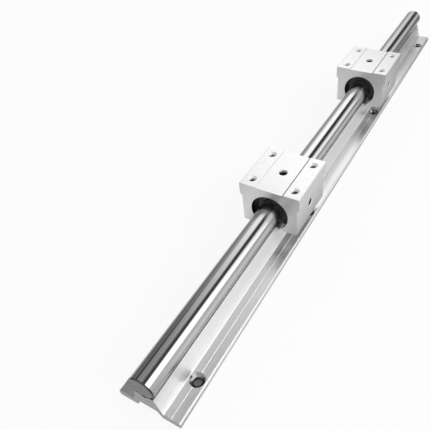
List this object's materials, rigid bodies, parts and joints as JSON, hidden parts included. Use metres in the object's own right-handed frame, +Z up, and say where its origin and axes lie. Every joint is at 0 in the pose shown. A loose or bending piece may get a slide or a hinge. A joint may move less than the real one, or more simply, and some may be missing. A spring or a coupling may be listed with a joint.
{
  "type": "supported round rail",
  "caption": "Round shaft on a continuous aluminium support, with open linear bearing blocks that slide along it.",
  "frame": {"origin": "on the mounting plane under the support, at the middle of the rail's length and width", "axes": "+X along the rail from the end nearest the picture's camera to the far end, +Y across it, +Z up from the mounting plane"},
  "size_m": [0.5, 0.045, 0.045],
  "materials": {
    "support": "drawn, fine lengthwise lines",
    "shaft": "ground and polished",
    "housing": "satin anodised with milled faces",
    "sleeve_steel": "ground",
    "ball_steel": "polished",
    "fastener_steel": "black oxide",
    "resin": "moulded",
    "seal_rubber": "satin"
  },
  "bodies": {
    "rail": {"rail_support": "support", "shaft": "shaft"},
    "block_1": {"block_1_housing": "housing", "block_1_sleeve": "sleeve_steel", "block_1_ball_cage": "resin", "block_1_balls": "ball_steel", "block_1_left_end_seal": "seal_rubber", "block_1_right_end_seal": "seal_rubber"},
    "block_2": {"block_2_housing": "housing", "block_2_sleeve": "sleeve_steel", "block_2_ball_cage": "resin", "block_2_balls": "ball_steel", "block_2_left_end_seal": "seal_rubber", "block_2_right_end_seal": "seal_rubber"}
  },
  "joints": [
    {"name": "block_1_slide", "type": "slide", "parent": "rail", "child": "block_1", "axis": [1, 0, 0], "range_m": [-0.142, 0.067]},
    {"name": "block_2_slide", "type": "slide", "parent": "rail", "child": "block_2", "axis": [1, 0, 0], "range_m": [-0.067, 0.132]}
  ]
}
